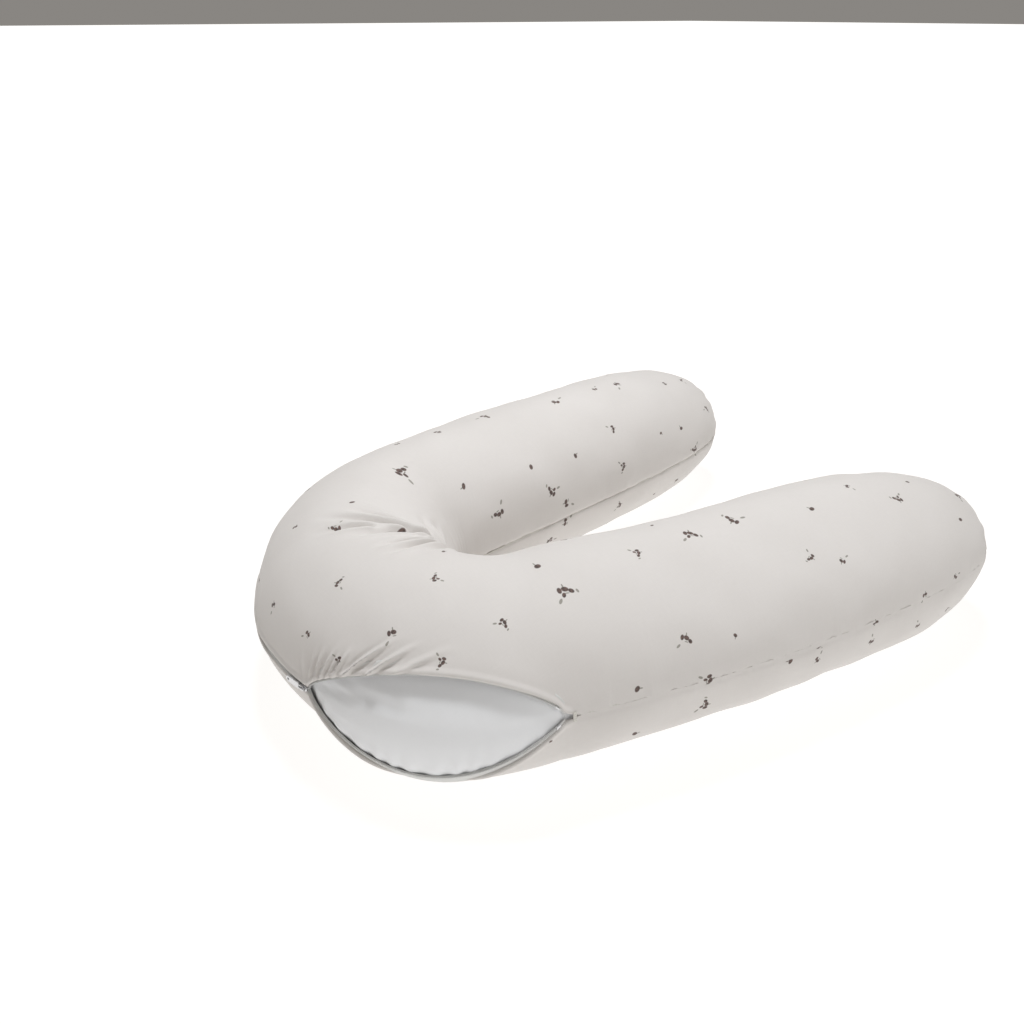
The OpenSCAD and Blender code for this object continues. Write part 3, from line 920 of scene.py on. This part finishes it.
THREAD_R = 0.9
THREAD_DEPTH = 2.6
TIP_CLEAR = 6.0
ROW_REACH = 3.5                   # the bend's length of thread may end this far past the split
threaded = rows[to_tip(rows) > TIP_CLEAR]


def inner_thread(s):
    """The inner seam's thread, cut into the bend's length and the arms' lengths."""
    points = round_section(s, np.broadcast_to(INNER_SEAM, s.shape), THREAD_DEPTH, THREAD_R)
    three_pieces("inner_seam_thread", points, np.zeros((*points.shape[:2], 2)), False, s, thread,
                 closed=True)


def outer_lengths(part, side, whole):
    """The outer seam's thread on one side of the zip: a length in the bend and a length in the arm."""
    near = whole[np.abs(whole) <= SPLIT_AT + ROW_REACH]
    far = whole[np.abs(whole) >= np.abs(near).max()]
    for s, where in ((near, "bend"), (far, part)):
        points = round_section(s, seam(s), THREAD_DEPTH, THREAD_R)
        name = f"outer_seam_thread_{where}_{'front' if side > 0 else 'back'}_shape"
        piece = grid_mesh(name, points, np.zeros((*points.shape[:2], 2)), False,
                          grid_normals(points, False, True), thread, True)
        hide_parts(f"outer_seam_thread_{where}")
        if where == "bend":
            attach(piece, "bend")
        else:
            arm_blend(piece)


inner_thread(threaded)
for part, side, cut in (("front_arm", 1, OPEN_END + 10), ("back_arm", -1, ZIP_TAIL + 14)):
    outer_lengths(part, side, threaded[threaded * side > cut])


def on_zip(s, x, off, side):
    """A point beside the zip's middle line, on the upper (side 1) or the lower lip."""
    a = upper(s, x) if side > 0 else lower(s, x)
    lift = upper_lift(s, a) if side > 0 else lower_lift(s, a)
    return skin(s, a, off, lift)


zip_rows = np.concatenate([
    np.linspace(-ZIP_TAIL, OPEN_START, 64)[:-1],
    (OPEN_START + OPEN_END - (OPEN_END - OPEN_START) * np.cos(np.linspace(0, np.pi, 110))) / 2])
TAPE_W = 14.5
TAPE_FACE = 1.5
TAPE_T = 0.6
TAPE_COLS = 9
COIL_R = 0.85
COIL_OFF = -0.55
COIL_PITCH = 1.5
COIL_STEPS = 10                   # points in each turn
WIRE_R = 0.34
COIL_END = OPEN_END - 6


def zip_tape(name, side):
    """A flat strip with a thickness: its face outwards and back the other way round."""
    across = np.linspace(COIL_GAP, COIL_GAP + TAPE_W, TAPE_COLS)
    x = np.concatenate([across, across[::-1]])
    off = np.repeat([-TAPE_FACE, -TAPE_FACE - TAPE_T], TAPE_COLS)
    points = on_zip(zip_rows[:, None], x[None, :], off[None, :], side)
    cloth = np.stack(np.broadcast_arrays(zip_rows[:, None] * 1.6, x[None, :]), -1)
    piece = grid_mesh(name + "_ribbon", points, cloth, side < 0, None, tape, closed=True)
    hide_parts(name)
    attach(piece, "bend")


def unit(vectors):
    return vectors / np.linalg.norm(vectors, axis=1, keepdims=True)


def zip_coil(name, side):
    """A helix of wire along the tape's edge, at an even pitch."""
    fine = np.linspace(-ZIP_TAIL, COIL_END, 4000)
    x = COIL_GAP + COIL_R + 0.1
    base = on_zip(fine, x, COIL_OFF, side)
    length = np.concatenate([[0], np.cumsum(np.linalg.norm(np.diff(base, axis=0), axis=1))])
    turns = int(length[-1] / (COIL_PITCH * MM))
    at = np.interp(np.linspace(0, length[-1], turns * COIL_STEPS), length, fine)
    phase = np.linspace(0, 2 * np.pi * turns, len(at))
    wire = on_zip(at, x + COIL_R * np.cos(phase), COIL_OFF + COIL_R * np.sin(phase), side)
    forward = unit(np.gradient(wire, axis=0))
    axis = np.gradient(on_zip(at, x, COIL_OFF, side), axis=0)
    first = unit(np.cross(forward, axis))
    second = np.cross(forward, first)
    turn = np.linspace(0, 2 * np.pi, 6, endpoint=False)
    points = wire[:, None] + WIRE_R * MM * (first[:, None] * np.cos(turn)[None, :, None]
                                            + second[:, None] * np.sin(turn)[None, :, None])
    flat = np.zeros((*points.shape[:2], 2))
    piece = grid_mesh(name + "_helix", points, flat, True, None, coil, closed=True)
    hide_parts(name)
    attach(piece, "bend")


for name, side in (("upper", 1), ("lower", -1)):
    zip_tape("zip_tape_" + name, side)
    zip_coil("zip_coil_" + name, side)


# The CAD pieces that keep their shape

ZINC_NODES = ("zip_top_stops", "zip_bottom_stop", "slider_body", "slider_bail", "pull_tab")
for node, finish in [(name, zinc) for name in ZINC_NODES] + [("zip_bar_tacks", thread)]:
    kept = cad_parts[node]
    kept.data.materials.clear()
    kept.data.materials.append(finish)


# Floor and light

FLOOR = 60.0
FLOOR_GLOW = (0.90, 1.04)         # near the pillow, and far from it
FLOOR_WARMTH = (1, 0.985, 0.965, 1)
LAMP_COLOR = (0.965, 0.98, 1.0)
SKY_COLOR = (1, 0.95, 0.89, 1)
SKY_LIGHT = 0.25
LAMP_AIM = Vector((0.0, 0.0, 0.1))


def pale_floor():
    """A pale floor that glows a little, so that it is white under the pillow too."""
    shader = Shader("floor_paint", roughness=0.95)
    where = shader.node("TexCoord").outputs["Object"]
    shader.color(shader.mix(shader.noise(where, 3.0), (0.19, 0.19, 0.19, 1), (0.21, 0.21, 0.21, 1)))
    shader.put(FLOOR_WARMTH, shader.surface.inputs["Emission Color"])
    flat = shader.vector("MULTIPLY", where, (1.0, 1.0, 0.0))
    away = shader.vector("LENGTH", flat)
    shader.put(shader.ramp(away, 0.5, 1.7, *FLOOR_GLOW), shader.surface.inputs["Emission Strength"])
    corners = [(-FLOOR, -FLOOR, 0), (FLOOR, -FLOOR, 0), (FLOOR, FLOOR, 0), (-FLOOR, FLOOR, 0)]
    mesh = bpy.data.meshes.new("floor")
    mesh.from_pydata(corners, [], [(0, 1, 2, 3)])
    mesh.materials.append(shader.material)
    floor = bpy.data.objects.new("floor", mesh)
    floor.location.z = -0.001
    bpy.context.collection.objects.link(floor)


def soft_light(name, place, size, power):
    light = bpy.data.lights.new(name, "AREA")
    light.energy = power
    light.size = size
    light.color = LAMP_COLOR
    lamp = bpy.data.objects.new(name, light)
    lamp.location = place
    lamp.rotation_euler = (LAMP_AIM - Vector(place)).to_track_quat("-Z", "Y").to_euler()
    bpy.context.collection.objects.link(lamp)


def sky():
    world = bpy.data.worlds.new("studio")
    bpy.context.scene.world = world
    world.use_nodes = True
    background = world.node_tree.nodes["Background"]
    background.inputs["Color"].default_value = SKY_COLOR
    background.inputs["Strength"].default_value = SKY_LIGHT


pale_floor()
soft_light("key", (0.08, 0.25, 2.1), 0.5, 31)
soft_light("fill", (0.0, -1.8, 1.1), 1.5, 8.0)
sky()
bpy.context.scene.view_settings.view_transform = "Standard"
